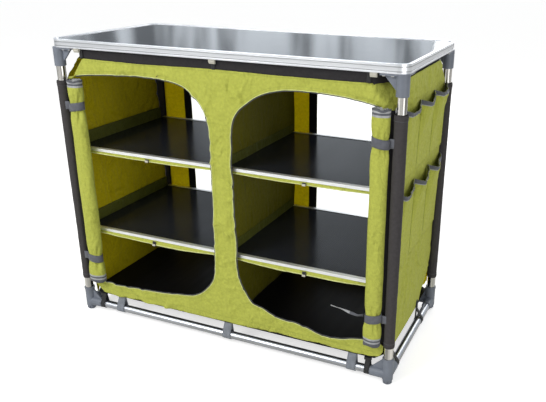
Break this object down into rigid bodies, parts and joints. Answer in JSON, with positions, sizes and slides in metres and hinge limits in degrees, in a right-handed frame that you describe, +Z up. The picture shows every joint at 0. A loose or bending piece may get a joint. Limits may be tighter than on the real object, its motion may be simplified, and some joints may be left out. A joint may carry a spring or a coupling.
{
  "type": "camping cupboard",
  "caption": "Fold-away camping cupboard: rimmed tabletop on tube legs over a zip-front cloth cabinet with shelves on both sides of a divider, side pockets and levelling feet.",
  "frame": {"origin": "on the floor under the middle of the table, at the bottom of the feet", "axes": "+X to the user's right along the table's length, -Y to the user at the zipped front, +Z up"},
  "size_m": [0.993, 0.4705, 0.808],
  "materials": {
    "tabletop_laminate": "glossy charcoal laminate with a fine woven print",
    "trim_aluminium": "bright satin extrusion",
    "tube_aluminium": "drawn tube, satin",
    "grey_plastic": "moulded, lightly grained",
    "beige_plastic": "moulded, smooth",
    "black_plastic": "moulded",
    "plated_steel": "zinc plated",
    "shelf_laminate": "glossy black laminate with a fine crosshatch",
    "green_cloth": "coated woven polyester, lime green",
    "charcoal_cloth": "coated woven polyester, dark grey",
    "grey_webbing": "woven tape, mid grey",
    "black_webbing": "woven tape, black"
  },
  "bodies": {
    "cabinet": {"back_panel": "green_cloth", "bracket_screws": "plated_steel", "clip_elastics": "black_webbing", "corner_joint_bl": "grey_plastic", "corner_joint_br": "grey_plastic", "corner_joint_fl": "grey_plastic", "corner_joint_fr": "grey_plastic", "corner_straps": "black_webbing", "divider_panel": "green_cloth", "door_roll_left": "green_cloth", "door_roll_right": "green_cloth", "door_ties": "grey_webbing", "door_zip_tape": "grey_webbing", "floor_panel": "shelf_laminate", "front_panel": "green_cloth", "hooks": "beige_plastic", "leg_bl": "tube_aluminium", "leg_br": "tube_aluminium", "leg_fl": "tube_aluminium", "leg_fr": "tube_aluminium", "leg_sleeve_bl": "charcoal_cloth", "leg_sleeve_br": "charcoal_cloth", "leg_sleeve_fl": "charcoal_cloth", "leg_sleeve_fr": "charcoal_cloth", "rail_back": "tube_aluminium", "rail_front": "tube_aluminium", "rail_left": "tube_aluminium", "rail_loops": "grey_webbing", "rail_right": "tube_aluminium", "shelf_board_lower_left": "shelf_laminate", "shelf_board_lower_right": "shelf_laminate", "shelf_board_upper_left": "shelf_laminate", "shelf_board_upper_right": "shelf_laminate", "shelf_sling_lower_left": "green_cloth", "shelf_sling_lower_right": "green_cloth", "shelf_sling_upper_left": "green_cloth", "shelf_sling_upper_right": "green_cloth", "shelf_straps": "black_webbing", "shelf_trims": "trim_aluminium", "side_panel_left": "green_cloth", "side_panel_right": "green_cloth", "side_pockets_lower": "green_cloth", "side_pockets_upper": "green_cloth", "strap_adjusters": "black_plastic", "table_rim": "trim_aluminium", "tabletop": "tabletop_laminate", "top_band": "charcoal_cloth", "top_bracket_bl": "grey_plastic", "top_bracket_br": "grey_plastic", "top_bracket_fl": "grey_plastic", "top_bracket_fr": "grey_plastic", "window_binding": "charcoal_cloth"},
    "foot_fl": {"foot_knob_fl": "grey_plastic", "foot_stud_fl": "plated_steel"},
    "foot_fr": {"foot_knob_fr": "grey_plastic", "foot_stud_fr": "plated_steel"},
    "foot_bl": {"foot_knob_bl": "grey_plastic", "foot_stud_bl": "plated_steel"},
    "foot_br": {"foot_knob_br": "grey_plastic", "foot_stud_br": "plated_steel"}
  },
  "joints": [
    {"name": "foot_fl_screw", "type": "slide", "parent": "cabinet", "child": "foot_fl", "axis": [0, 0, -1], "range_m": [0, 0.012]},
    {"name": "foot_fr_screw", "type": "slide", "parent": "cabinet", "child": "foot_fr", "axis": [0, 0, -1], "range_m": [0, 0.012]},
    {"name": "foot_bl_screw", "type": "slide", "parent": "cabinet", "child": "foot_bl", "axis": [0, 0, -1], "range_m": [0, 0.012]},
    {"name": "foot_br_screw", "type": "slide", "parent": "cabinet", "child": "foot_br", "axis": [0, 0, -1], "range_m": [0, 0.012]}
  ]
}
